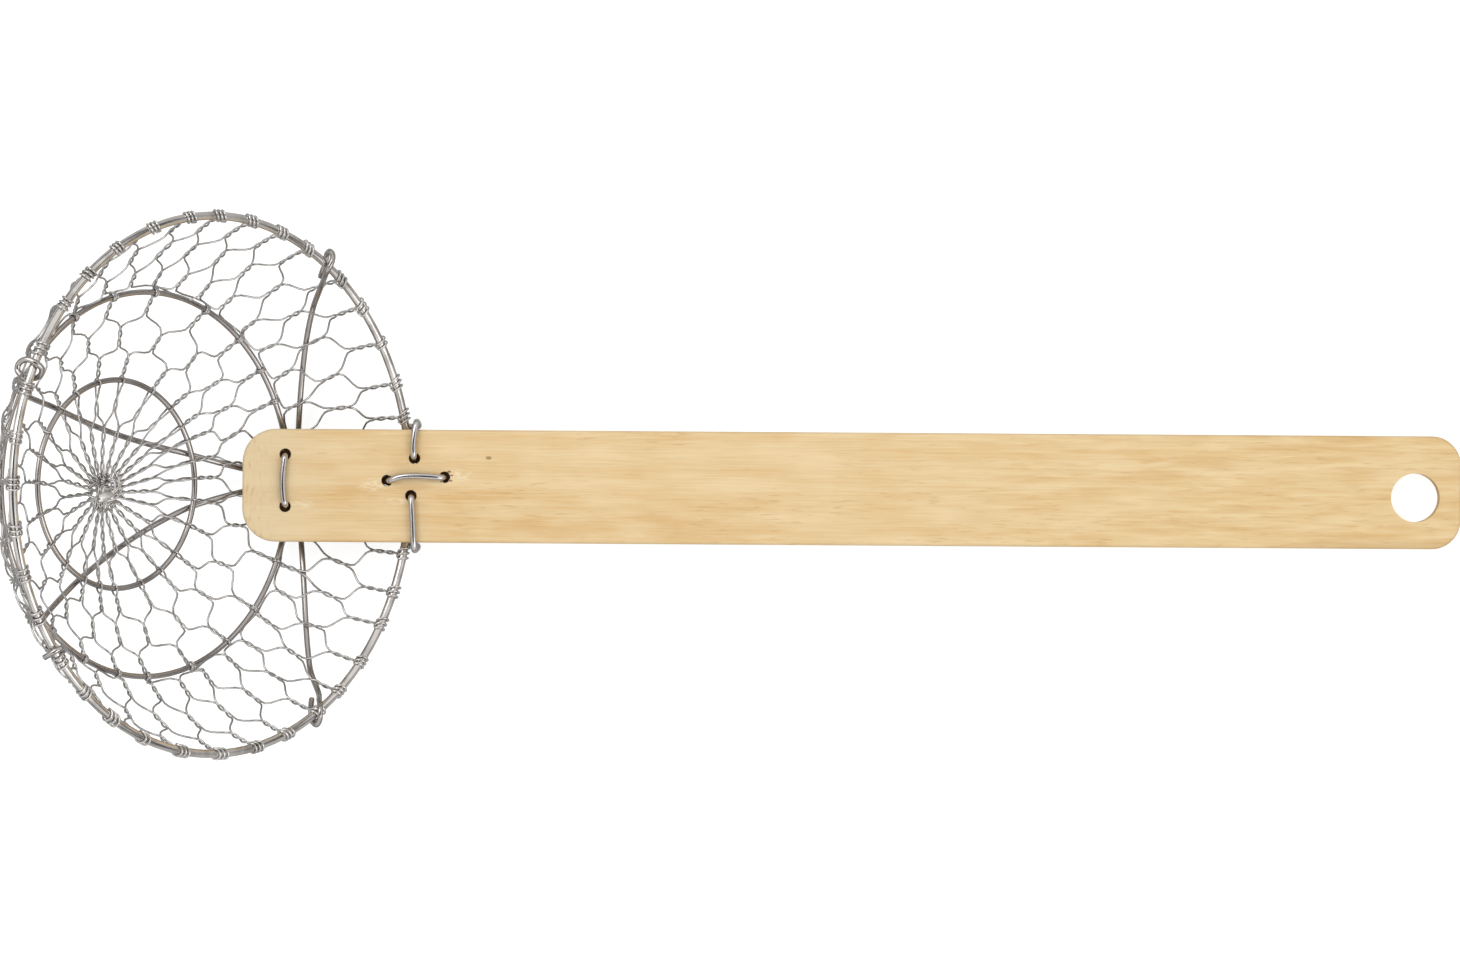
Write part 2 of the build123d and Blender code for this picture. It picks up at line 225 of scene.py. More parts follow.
def steel(name, colour, dark, roughness, smear=0.35, rim_wrap_highlight=None):
    """Drawn wire: cloudy roughness, faint darker stains and fine scratches.

    smear is how much the stains darken it; the last argument is a lighter colour painted on
    as a highlight where the wire wraps round the bowl's rim.
    """
    paint = Paint(bpy.data.materials.new(name))
    where = paint.place_in(Matrix())
    stains = paint.noise(where, stain_cells, detail=4).step(0.42, 0.72)
    scratches = paint.noise(where, scratch_cells, detail=2)
    paint.colour = (*colour, 1)
    if rim_wrap_highlight:
        from_rim = paint.parts(paint.place_in(basket_to_world))[2].math("ABSOLUTE")
        # painted highlight: the wire is lighter near the rim, where it wraps round it
        paint.lay(from_rim.step(*wrap_highlight_fade), rim_wrap_highlight)
    paint.lay(stains * smear + scratches * 0.12, dark)
    paint.set(
        Base_Color=paint.colour, Metallic=1.0,
        Roughness=stains * 0.08 + scratches * 0.05 + roughness,
    )
    paint.bump(scratches, strength=0.12, distance=0.04 * MM)
    return paint.owner


# pale crushed spots with a painted glint on the handle's face: each one's middle and its reach
# along and across
crushed_glint_spots = (
    ((34.6, 0.2), (3.6, 1.6)), ((57.6, 2.9), (3.2, 1.4)),
    ((16.0, -5.0), (2.6, 1.0)), ((41.0, -4.0), (2.4, 0.9)),
)
# dark notches of painted shade in the torn edge right of the staple's right hole: each one's
# middle and its reach along and across
shaded_notches = ((54.9, 3.9), (0.5, 0.28)), ((55.6, 2.9), (0.45, 0.2)), ((55.3, 1.5), (0.5, 0.25))
knot = (65.4, 7.6), (0.75, 0.45)
under_staple = (45.5, -0.1), (4.4, 1.0)
# how far the holes' painted shade reaches past their walls onto the face, in millimetres
hole_shade_rim = 0.05


def bamboo():
    """Pale bamboo: lengthwise fibres, tan bands and flecks, marks beside its six holes, and
    painted shade in the holes.

    x, y and z are millimetres along the handle from its tip, across it and up from its face.
    """
    paint = Paint(bpy.data.materials.new("bamboo"))
    where = paint.place_in(handle_to_world)
    x, y, z = paint.parts(where)

    def spot(middle, reach, soft):
        """1 in an oval on the face, with a soft edge."""
        along, across = ((at - m) / r for at, m, r in zip((x, y), middle, reach))
        return (along ** 2.0 + across ** 2.0).step(1.0 + soft, 1.0 - soft)

    fibres = paint.noise(where, (0.055, 2.0, 2.0), detail=4, roughness=0.6, distortion=0.3)
    fine = paint.noise(where, (0.05, 7.0, 7.0), detail=2)
    bands = paint.noise(where, (0.004, 0.22, 0.22), detail=3, distortion=0.3)
    clouds = paint.noise(where, (0.05, 0.16, 0.16), detail=3)
    paint.colour = (0.865, 0.69, 0.425, 1)
    tan = (0.69, 0.425, 0.165)
    paint.lay((fibres * 0.6 + bands * 0.6 + clouds * 0.6 - 0.54).step(0.05, 0.8), tan)
    paint.lay(fine.step(0.5, 0.85) * 0.30, (0.62, 0.38, 0.15))

    # flecks, in groups, with more of them towards the hanging hole and below the staple
    groups = paint.noise(where, (0.02, 0.12, 0.12), detail=2) + x.step(150.0, 280.0) * 0.14
    groups = groups + y.step(2.0, -6.0) * x.step(52.0, 66.0) * 0.06
    flecks = paint.noise(where, (0.16, 1.5, 1.5), detail=2).step(0.56, 0.72)
    flecks = flecks * groups.step(0.42, 0.66)
    paint.lay(flecks * 0.45, (0.53, 0.28, 0.11))

    # a warmer stretch below the stitches
    warm = y.step(-3.0, -8.0) * x.step(46.0, 60.0) * x.step(190.0, 120.0)
    warm = warm * paint.noise(where, (0.045, 0.30, 0.30), detail=3).step(0.38, 0.64)
    paint.lay(warm * 0.42, (0.66, 0.40, 0.15))

    # paler where the tip was cut and sanded, warmer towards the hanging hole
    paint.lay(x.step(24.0, 4.0) * 0.55, (0.84, 0.70, 0.47))
    paint.lay(x.step(120.0, 300.0) * 0.22 + 0.14, (0.74, 0.52, 0.23))

    # stronger streaks, dark and pale, in that half
    streaks = paint.noise(where, (0.06, 0.55, 0.55), detail=4, distortion=0.5)
    far_half = x.step(150.0, 250.0)
    paint.lay(streaks.step(0.48, 0.72) * far_half * 0.48, (0.66, 0.41, 0.16))
    paint.lay(streaks.step(0.50, 0.30) * far_half * 0.40, (0.90, 0.73, 0.43))
    # browner along the face's low edge towards the hanging-hole end
    low_edge = y.step(-11.8, -14.6) * x.step(262.0, 300.0)
    paint.lay(low_edge * 0.40, (0.52, 0.31, 0.12))

    # saw marks at the rounded tip, and a small knot
    marks = paint.noise(where, (1.1, 0.28, 0.4), detail=2).step(0.52, 0.72) * x.step(10.0, 2.0)
    paint.lay(marks * 0.42, (0.56, 0.35, 0.16))
    paint.lay(spot(*knot, 0.8) * 0.75, (0.30, 0.15, 0.06))

    # crushed pale fibres beside the stitches, painted paler as a glint, and a browner oval just
    # below the staple's wire, between its legs
    crushed_glint = paint.noise(where, (0.5, 2.4, 2.4), detail=3).step(0.42, 0.62)
    for middle, reach in crushed_glint_spots:
        paint.lay(spot(middle, reach, 0.9) * crushed_glint * 0.6, (0.93, 0.80, 0.58))
    paint.lay(spot(*under_staple, 0.9) * 0.35, (0.58, 0.33, 0.12))

    # painted shade: the holes' walls are painted dark, with a thin dark ring round them on the
    # face
    hole_reach = stitch_hole_radius + hole_shade_rim
    holes = [spot(middle, (hole_reach, hole_reach), 0.10) for middle in stitch_holes]
    painted_hole_shade = holes[0]
    for hole in holes[1:]:
        painted_hole_shade = painted_hole_shade.math("MAXIMUM", hole)
    paint.lay(painted_hole_shade * 0.9, (0.165, 0.092, 0.044))
    # painted shade in the notches of that torn edge
    for middle, reach in shaded_notches:
        paint.lay(spot(middle, reach, 0.6) * 0.85, (0.16, 0.085, 0.038))
    # the side walls browner away from the handle's two faces
    sides = (z + handle_thickness / 2).math("ABSOLUTE").step(2.35, 1.6)
    paint.lay(sides * 0.25, (0.56, 0.36, 0.17))

    paint.set(
        Base_Color=paint.colour, Roughness=fibres * 0.16 + painted_hole_shade * 0.2 + 0.46,
        Specular_IOR_Level=0.35,
    )
    relief = fibres * 0.7 + fine * 0.5 - flecks * 0.3 - marks * 0.3
    paint.bump(relief, strength=0.35, distance=0.12 * MM)
    return paint.owner


bamboo_finish = bamboo()
rim_steel = steel("rim_steel", (0.72, 0.69, 0.66), (0.26, 0.23, 0.21), 0.12, smear=0.6)
ring_steel = steel("ring_steel", (0.45, 0.42, 0.40), (0.24, 0.20, 0.18), 0.14)
brace_steel = steel("brace_steel", (0.47, 0.44, 0.42), (0.25, 0.22, 0.20), 0.13)
# the mesh wire has a painted highlight colour where it wraps round the rim
mesh_steel = steel(
    "mesh_steel", (0.54, 0.525, 0.51), (0.27, 0.25, 0.235), 0.18, rim_wrap_highlight=(0.74, 0.72, 0.70)
)
stitch_steel = steel(
    "stitch_steel", (0.60, 0.575, 0.555), (0.34, 0.31, 0.29), 0.10, smear=0.2
)
solder = steel("solder", (0.85, 0.83, 0.81), (0.60, 0.58, 0.56), 0.45)

node_finish = {
    "handle": bamboo_finish,
    "rim_ring": rim_steel,
    "middle_ring": ring_steel,
    "inner_ring": ring_steel,
}
for node, finish in node_finish.items():
    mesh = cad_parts[node].data
    mesh.materials.clear()
    mesh.materials.append(finish)

# The bowl's wall: a part of an ellipse turned round the bowl's axis. A turn is the ellipse's
# own angle, 0 at the bottom, and a run is the way down the wall from the rim.

wall_steps = 1200
wall_height = bowl_depth + bowl_wall_drop
flatness = 1 - (bowl_wall_drop / wall_height) ** 2
wall_width = rim_radius / sqrt(flatness)
rim_turn = asin(sqrt(flatness))


def wall_at(turn):
    """The radius and the depth below the rim."""
    return wall_width * sin(turn), wall_height * cos(turn) - bowl_wall_drop


wall_turns = [rim_turn * (1 - i / wall_steps) for i in range(wall_steps + 1)]
wall_runs = [0.0]
for high, low in zip(wall_turns, wall_turns[1:]):
    (r1, d1), (r2, d2) = wall_at(high), wall_at(low)
    wall_runs.append(wall_runs[-1] + hypot(r2 - r1, d2 - d1))


def turn_at_run(run):
    i = min(max(bisect_right(wall_runs, run) - 1, 0), wall_steps - 1)
    part = (run - wall_runs[i]) / (wall_runs[i + 1] - wall_runs[i])
    return wall_turns[i] + part * (wall_turns[i + 1] - wall_turns[i])


def radius_at_run(run):
    return wall_at(turn_at_run(run))[0]


def run_at_radius(radius):
    part = (rim_turn - asin(min(radius / wall_width, 1.0))) / rim_turn * wall_steps
    i = min(int(part), wall_steps - 1)
    return wall_runs[i] + (part - i) * (wall_runs[i + 1] - wall_runs[i])


def bowl_point(angle, run, above=0.0, aside=0.0):
    """A point at an angle and a run down the wall, then above the wall and aside."""
    turn = turn_at_run(max(run, 0.0))
    radius, depth = wall_at(turn)
    slope = Vector((-wall_width * cos(turn), 0, -wall_height * sin(turn))).normalized()
    inward = Vector((slope.z, 0, -slope.x))
    point = Vector((radius, 0, -depth)) + inward * above + slope * min(run, 0.0)
    shift = hub_shift * max(0.0, 1 - radius / inner_ring_radius)
    return shift + Vector((
        point.x * cos(angle) - aside * sin(angle),
        point.x * sin(angle) + aside * cos(angle),
        point.z,
    ))


# Pieces


def add_piece(name, data, finish):
    """A piece of the skimmer, on its one body."""
    piece = bpy.data.objects.new(name, data)
    scene.collection.objects.link(piece)
    data.materials.append(finish)
    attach(piece, "root")
    return piece


def wire(name, lines, radius, finish, nodes=(), place=basket_to_world, sides=2):
    """One piece made of round wires through lists of points in millimetres."""
    curve = bpy.data.curves.new(name, "CURVE")
    curve.dimensions = "3D"
    curve.bevel_depth = radius * MM
    curve.bevel_resolution = sides
    curve.use_fill_caps = True
    for line in lines:
        spline = curve.splines.new("POLY")
        spline.points.add(len(line) - 1)
        for target, point in zip(spline.points, line):
            target.co = (*(place @ point * MM), 1)
        spline.use_smooth = True
    piece = add_piece(name, curve, finish)
    if nodes:
        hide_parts(*nodes)


# Knotted mesh: wires coiled round a ring at their middle, twisted with their neighbours

mesh_wire_radius = 0.28
# from a rim's or ring's middle to the middle of a wire coiled round it
rim_coil_reach = rim_wire_radius + mesh_wire_radius + 0.05
ring_coil_reach = ring_wire_radius + mesh_wire_radius + 0.04
# where a pair crosses a ring, its strands part over this run to either side of it, and
# don't turn over the shorter one
eye_run = 2.0
flat_run = 0.8
hub_radius = 4.2
# how far the pairs' ends at the hub stray, and how far a strand lies from its pair's middle
hub_end_spread = (-0.4, 1.4)
strand_reaches = (0.29, 0.40)
# wraps: how loose, how many turns, how far apart they lie and how much they slant
rim_wrap_slack = (0.0, 0.18)
rim_wrap_turns = (1.5, 2.5, 2.5, 2.5)
rim_wrap_pitch = (1.2, 1.5)
rim_wrap_slant = (0.2, 0.9)
eye_pitch = (0.5, 0.7)
end_wrap_turns = (0.75, 1.25)
end_wrap_pitch = 0.5
end_wrap_stray = 0.5
# the greatest angle from a wire's end to the inner wire that it is tied beside
tie_angle = radians(3.2)
hand = Random(37)

# where the wraps sit round the rim, and where pairs cross the inner ring, in degrees from the
# side under the handle
wrap_angles = [
    4.5, 15.5, 23.3, 33.3, 43.1, 51.8, 63.6, 72.1, 81.1, 90.4, 99.0, 109.6, 120.8, 130.6, 139.4,
    151.0, 159.9, 170.3, 179.8, 189.2, 198.8, 208.2, 219.3, 228.7, 238.1, 247.9, 259.1, 270.3,
    281.0, 290.2, 300.5, 308.4, 317.5, 327.8, 335.8, 344.8, 354.2,
]
inner_angles = [
    2.8, 13.8, 25.0, 35.2, 47.5, 64.2, 87.0, 104.0, 121.0, 135.0, 151.0, 164.8, 178.5, 196.5,
    213.8, 229.0, 244.5, 258.0, 269.2, 287.2, 304.5, 319.2, 337.0, 351.5,
]

# a share of the wall is 0 at the rim, 1 and 2 at the rings and 3 at the hub
runs_at_shares = [
    0.0, run_at_radius(middle_ring_radius), run_at_radius(inner_ring_radius),
    run_at_radius(hub_radius),
]
hub_share = 3.0
middle_ring_run = runs_at_shares[1]


def run_of(share):
    """The run at a share of the wall."""
    span = min(int(share), len(runs_at_shares) - 2)
    low, high = runs_at_shares[span], runs_at_shares[span + 1]
    return low + (share - span) * (high - low)


class Row(NamedTuple):
    """A row of twisted pairs, from one share of the wall to another."""

    start: float
    end: float
    turns: float
    # how far the pairs' ends stray, in millimetres
    stray: float
    # how much the row keeps of the uneven steps round the rim, from 0 to 1
    keep: float
    # turns after the ring that the row crosses
    more_turns: float = 0.0


class Pair:
    """Two strands twisted round each other along a short line on the wall."""

    def __init__(self, angle, row, at_ring):
        def stray():
            return hand.uniform(-row.stray, row.stray)

        at_hub = row.end == hub_share
        self.turns_to_ring = row.turns
        self.turns = row.turns + row.more_turns
        self.ring_run = runs_at_shares[int(row.end)] if row.more_turns else None
        self.start = run_of(row.start) + (0 if at_ring else stray())
        self.end = run_of(row.end) + (hand.uniform(*hub_end_spread) if at_hub else stray())
        lean_at_start = 0 if at_ring else stray()
        lean_at_end = stray()
        self.angles = [
            angle + lean_at_start / radius_at_run(self.start),
            angle if at_hub else angle + lean_at_end / radius_at_run(self.end),
        ]
        self.strand_reach = hand.uniform(*strand_reaches)
        self.phase = -2 * pi * self.turns if at_ring else 0.0

    def turn(self, run):
        """The turns from the pair's start to a run."""
        if self.ring_run is None:
            return self.turns * ((run - self.start) / (self.end - self.start))
        stops = (
            (self.start, 0.0), (self.ring_run - flat_run, self.turns_to_ring),
            (self.ring_run + flat_run, self.turns_to_ring), (self.end, self.turns),
        )
        for (run1, turn1), (run2, turn2) in zip(stops, stops[1:]):
            if run <= run2 or run2 == self.end:
                return turn1 + (turn2 - turn1) * (run - run1) / (run2 - run1)

    def reach(self, run):
        """How far each strand lies from the pair's middle."""
        if self.ring_run is None or abs(run - self.ring_run) > eye_run:
            return self.strand_reach
        swell = (1 + cos(pi * (run - self.ring_run) / eye_run)) / 2
        return self.strand_reach + (ring_coil_reach - self.strand_reach) * swell

    def strand(self, side, steps_a_turn=14):
        """Points of one strand: side 1 starts at the greater angle."""
        count = max(10, round(self.turns * steps_a_turn))
        found = []
        for i in range(count + 1):
            run = self.start + (self.end - self.start) * i / count
            around = 2 * pi * self.turn(run) + self.phase
            angle = self.angles[0] + (self.angles[1] - self.angles[0]) * i / count
            reach = self.reach(run) * side
            found.append(bowl_point(angle, run, reach * sin(around), reach * cos(around)))
        return found


def joined(first, second, steps=5):
    """Two lists of points with a soft bend of points between them."""
    start, end = first[-1], second[0]
    chord = (end - start).length
    leaving = (start - first[-2]).normalized() * chord
    arriving = (second[1] - end).normalized() * chord
    bend = []
    for i in range(1, steps):
        t = i / steps
        bend.append(
            start * (2 * t**3 - 3 * t**2 + 1) + leaving * (t**3 - 2 * t**2 + t)
            + end * (3 * t**2 - 2 * t**3) + arriving * (t**3 - t**2)
        )
    return first + bend + second


def coil(angle, centre_run, reach, turns, pitch, start=-pi / 2, slant=0.0, steps_a_turn=16):
    """Round a ring, from its outer side over the top to its inner side, and on."""
    radius = radius_at_run(centre_run)
    steps = round(turns * steps_a_turn)
    found = []
    for i in range(steps + 1):
        around = 2 * pi * turns * i / steps + start
        drift = (pitch * turns * (0.5 - i / steps) + slant * cos(around)) / radius
        run = centre_run - reach * cos(around)
        found.append(bowl_point(angle + drift, run, reach * sin(around)))
    return found


class Net:
    """Wires whose legs are twisted with their neighbours' in rows of pairs.

    In its even rows a wire's own two legs are a pair, and in its odd rows each leg is paired
    with the nearer leg of the next wire.
    """

    def __init__(self, angles, rows):
        self.angles = angles
        self.count = len(angles)
        self.rows = rows
        self.pairs = {}
        for level, row in enumerate(rows):
            for index in range(self.count):
                angle = self.column(index, row.keep)
                if level % 2:
                    angle = (angle + self.column(index + 1, row.keep)) / 2
                self.pairs[level, index] = Pair(angle, row, level == 0)

    def column(self, index, keep):
        """A wire's angle, between even steps and those seen round the rim."""
        lap, place = divmod(index, self.count)
        even = radians(self.angles[0] + 360 / self.count * index)
        seen = radians(self.angles[place]) + 2 * pi * lap
        return even + (seen - even) * keep

    def leg(self, index, side):
        """One leg of a wire: it is twisted with a neighbour in each row."""
        found = []
        for level in range(len(self.rows)):
            if level % 2 == 0:
                pair, strand = self.pairs[level, index], side
            elif side > 0:
                pair, strand = self.pairs[level, index], -1
            else:
                pair, strand = self.pairs[level, (index - 1) % self.count], 1
            points = pair.strand(strand)
            found = joined(found, points) if found else points
        return found


outer_net = Net(wrap_angles, (
    Row(0.065, 0.285, 1.25, 0.5, 1.0),
    Row(0.435, 0.615, 1.0, 0.8, 0.85),
    Row(0.77, 0.93, 1.0, 0.6, 0.8),
))
inner_net = Net(inner_angles, (
    Row(1.045, 1.26, 1.0, 0.7, 0.8),
    Row(1.405, 1.606, 1.0, 0.8, 0.9),
    Row(1.737, 2.324, 1.25, 0.5, 1.0, more_turns=0.75),
    Row(2.467, 3.0, 1.75, 0.4, 0.7),
))

columns = sorted(inner_net.pairs[0, index].angles[0] for index in range(inner_net.count))


def tie_to_ring(points, angle, side):
    """A strand's last bend to the pair that goes on inside the middle ring, and its wrap."""

    def nearest(ways):
        return min(ways, key=lambda way: abs(way - angle))

    ways = [column + lap for column in columns for lap in (-2 * pi, 0, 2 * pi)]
    near = nearest(ways)
    if abs(near - angle) > tie_angle:
        near = nearest([way for way in ways if (way - angle) * side > 0])
    near += hand.uniform(-end_wrap_stray, end_wrap_stray) / middle_ring_radius
    turns = hand.choice(end_wrap_turns)
    wrap = coil(near, middle_ring_run, ring_coil_reach, turns, end_wrap_pitch * side, start=0)
    return joined(points, wrap)


for index in range(outer_net.count):
    legs = []
    for side in (1, -1):
        angle = outer_net.pairs[2, index].angles[1]
        legs.append(tie_to_ring(outer_net.leg(index, side), angle, side))
    rim_coil = coil(
        radians(wrap_angles[index]), 0.0, rim_coil_reach + hand.uniform(*rim_wrap_slack),
        turns=hand.choice(rim_wrap_turns), pitch=hand.uniform(*rim_wrap_pitch),
        slant=hand.uniform(*rim_wrap_slant),
    )
    points = joined(legs[0][::-1], joined(rim_coil, legs[1]))
    name = f"mesh_wire_{index + 1:02d}"
    wire("knotted_" + name, [points], mesh_wire_radius, mesh_steel, [name])

for index in range(inner_net.count):
    angle = inner_net.pairs[0, index].angles[0]
    pitch = hand.uniform(*eye_pitch)
    eye = coil(angle, middle_ring_run, ring_coil_reach, turns=0.5, pitch=pitch)
    points = joined(inner_net.leg(index, 1)[::-1], joined(eye, inner_net.leg(index, -1)))
    wire(f"inner_mesh_wire_{index + 1:02d}", [points], mesh_wire_radius, mesh_steel)

# Hub: swirled wire ends and a drop of solder

swirl_count = 44
swirl_steps = 10
# how far past the hub's radius a wire starts, and how it rises and bows on its way in
plain_start = 0.9
tinned_start = (1.2, 3.4)
swirl_rise = (-0.4, 0.9)
swirl_bow = (-0.6, 0.3)
# the side of the hub, in radians, where the solder ran up the wires
tinned_from, tinned_to = -0.6, 1.7
cut_end_count = 16
cut_end_steps = 7
cut_end_heights = (1.2, 2.6)
cut_end_lean = (-0.9, 0.9)
drop_at = (-0.6, -3.2)
drop_height = 0.45

hub_lines = []
tinned_lines = []
for i in range(swirl_count):
    start = 2 * pi * i / swirl_count + hand.uniform(-0.12, 0.12)
    rise = hand.uniform(*swirl_rise)
    tinned = tinned_from < (start + pi) % (2 * pi) - pi < tinned_to
    reach = hub_radius + (hand.uniform(*tinned_start) if tinned else plain_start)
    first = Vector((cos(start), sin(start), 0)) * reach
    last = Vector((drop_at[0] + hand.uniform(-2.2, 2.2), drop_at[1] + hand.uniform(-1.2, 1.6), 0))
    bow = Vector((-first.y, first.x, 0)) * hand.uniform(*swirl_bow)
    line = []
    for step in range(swirl_steps + 1):
        part = step / swirl_steps
        spot = (first + hub_shift).lerp(last, part) + bow * sin(pi * part)
        spot.z = -bowl_depth + rise * sin(pi * min(part * 1.2, 1.0)) + 0.1
        line.append(spot)
    (tinned_lines if tinned else hub_lines).append(line)
# cut ends, bent up beside the drop
for i in range(cut_end_count):
    spot = Vector((hand.uniform(-3.4, 0.4), hand.uniform(-1.6, 2.4), -bowl_depth - 0.4))
    lean = Vector((hand.uniform(*cut_end_lean), hand.uniform(*cut_end_lean), 0))
    tall = hand.uniform(*cut_end_heights)
    line = []
    for step in range(cut_end_steps + 1):
        part = step / cut_end_steps
        line.append(spot + lean * (sin(2.6 * part) * 1.3) + Vector((0, 0, tall * part)))
    hub_lines.append(line)
wire("hub_windings", hub_lines, mesh_wire_radius, mesh_steel, ["hub_knot"])
wire("tinned_windings", tinned_lines, mesh_wire_radius, solder)

# the drop is a flattened ball with shallow lumps
drop_mesh = bpy.data.meshes.new("solder_drop")
shape = bmesh.new()
bmesh.ops.create_icosphere(shape, subdivisions=4, radius=1.0)
for vertex in shape.verts:
    x, y, z = vertex.co
    lumps = 1 + 0.10 * sin(3.1 * x + 1.0) * cos(2.7 * y) + 0.08 * sin(5.3 * y + 2.2 * z)
    spot = Vector((2.8 * x + 0.5 * y, 1.5 * y + 0.35 * x, 0.95 * z)) * lumps
    spot += Vector((*drop_at, drop_height - bowl_depth))
    vertex.co = basket_to_world @ spot * MM
for face in shape.faces:
    face.smooth = True
shape.to_mesh(drop_mesh)
shape.free()
add_piece("solder_drop", drop_mesh, solder)

# Braces: rods under the mesh, hooked over the rim

brace_radius = 0.78
brace_steps = 5


def smooth_line(points, steps=8):
    """A Catmull-Rom line through points."""
    full = [points[0], *points, points[-1]]
    found = []
    for a, b, c, d in zip(full, full[1:], full[2:], full[3:]):
        for i in range(steps):
            t = i / steps
            bend = (2 * a - 5 * b + 4 * c - d) * t**2 + (3 * b - a - 3 * c + d) * t**3
            found.append(b + ((c - a) * t + bend) / 2)
    return found + [points[-1]]


def rim_plan(angle):
    """A place on the rim, seen straight down into the bowl."""
    return Vector((rim_radius * cos(radians(angle)), rim_radius * sin(radians(angle))))


def hook(angle, bends):
    """A rod's end, bent round the rim at an angle."""
    middle = basket_to_handle @ rim_plan(angle).to_3d()
    return [middle + Vector(bend) for bend in bends]


def under_mesh(plan, drop, clear):
    """Points of a rod under the wall, from its places seen straight down into the bowl."""
    kept = [place for place in plan if place.length < rim_radius - clear]
    return [
        basket_to_handle @ bowl_point(atan2(place.y, place.x), run_at_radius(place.length), -drop)
        for place in kept
    ]


def brace(name, upper_hook, rod, lower_hook):
    """A rod between two hooks, in place of a node."""
    line = smooth_line(upper_hook + rod + lower_hook[::-1], brace_steps)
    wire(
        "bent_" + name, [line], brace_radius, brace_steel,
        [name], handle_to_world, sides=4,
    )


# each hook's points from its cut end to the rod, in millimetres from the middle of the rim:
# along the handle, across it, and up from it
upper_cross_hook = (
    (-2.3, -2.6, -4.6), (-1.6, -1.0, -2.9), (-0.9, 0.4, -2.0), (-0.65, 1.9, -1.4),
    (-0.35, 3.2, -0.8), (0.5, 3.9, 0.3), (1.35, 2.8, 1.4), (1.1, 0.8, 2.4),
    (-0.3, -1.7, 1.3), (-1.9, -4.3, -5.4),
)
lower_cross_hook = (
    (-1.7, 3.3, -5.7), (-1.65, 1.2, -3.2), (-1.4, -1.1, -1.1), (-0.8, -2.55, -0.4),
    (0.15, -3.1, 0.3), (0.95, -1.9, 1.1), (1.15, -0.35, 1.7), (1.1, 1.5, 1.0),
    (0.55, 3.3, -2.6), (0.0, 4.9, -6.8),
)
upper_fork_hook = (
    (-2.5, -0.9, 0.3), (-3.5, 0.3, -0.3), (-3.3, 1.8, -0.2), (-2.2, 2.8, 0.3),
    (-0.6, 3.0, 0.9), (1.35, 2.1, 1.2), (2.6, 0.75, 0.2), (2.0, -0.9, -1.0),
    (0.0, -1.6, -1.9), (-2.4, -1.4, -2.0), (-3.0, -2.4, -5.0), (-2.4, -4.0, -16.0),
)
lower_fork_hook = (
    (-2.4, -1.6, 1.0), (0.0, -0.2, 2.2), (1.9, 0.8, 1.2), (2.3, 0.3, -0.9),
    (0.5, -0.5, -2.5), (-1.9, 0.5, -2.0), (-2.9, 1.7, -2.6), (-2.9, 2.7, -8.0),
    (-2.6, 3.2, -18.0),
)

# the cross brace bows towards the handle's far end, and a little more in its lower half
cross_steps = 32
cross_ends = Vector((38.8, 58.3)), Vector((36.6, -59.9))
cross_middle = Vector((51.6, 0))
cross_bow = cross_middle - (cross_ends[0] + cross_ends[1]) / 2
cross_bulge = 1.7
cross_plan = []
for i in range(cross_steps + 1):
    t = i / cross_steps
    bulge = Vector((cross_bulge * sin(pi * max(0.0, 2 * t - 1)), 0))
    straight = cross_ends[0].lerp(cross_ends[1], t)
    cross_plan.append(straight + cross_bow * (1 - (2 * t - 1) ** 2) + bulge)
brace(
    "cross_brace", hook(56.5, upper_cross_hook), under_mesh(cross_plan, drop=1.4, clear=3.2),
    hook(-59.6, lower_cross_hook),
)


def fork_arm(start, end, bow, steps=24):
    """An arm seen straight down into the bowl; bow says how far it bends across."""
    ways = [i / steps for i in range(steps + 1)]
    return [start.lerp(end, t) + Vector((0, bow(t))) for t in ways]


fork_tip = Vector((48.5, 1.3))
fork_bend = 0.95
fork_side = Vector((0, fork_bend))
fork_plan = [
    *fork_arm(rim_plan(156.4), fork_tip + fork_side, lambda t: 1.8 * sin(pi * t) ** 2),
    *[fork_tip + fork_bend * Vector((sin(turn), cos(turn))) for turn in (0.8, 1.57, 2.34)],
    *fork_arm(fork_tip - fork_side, rim_plan(-143.5), lambda t: 2.5 * sin(2 * pi * t)),
]
brace(
    "fork_brace", hook(156.4, upper_fork_hook), under_mesh(fork_plan, drop=2.2, clear=20.0),
    hook(-143.0, lower_fork_hook),
)

# Stitches: points in the handle's own frame; each wire bows a little, as bent by hand

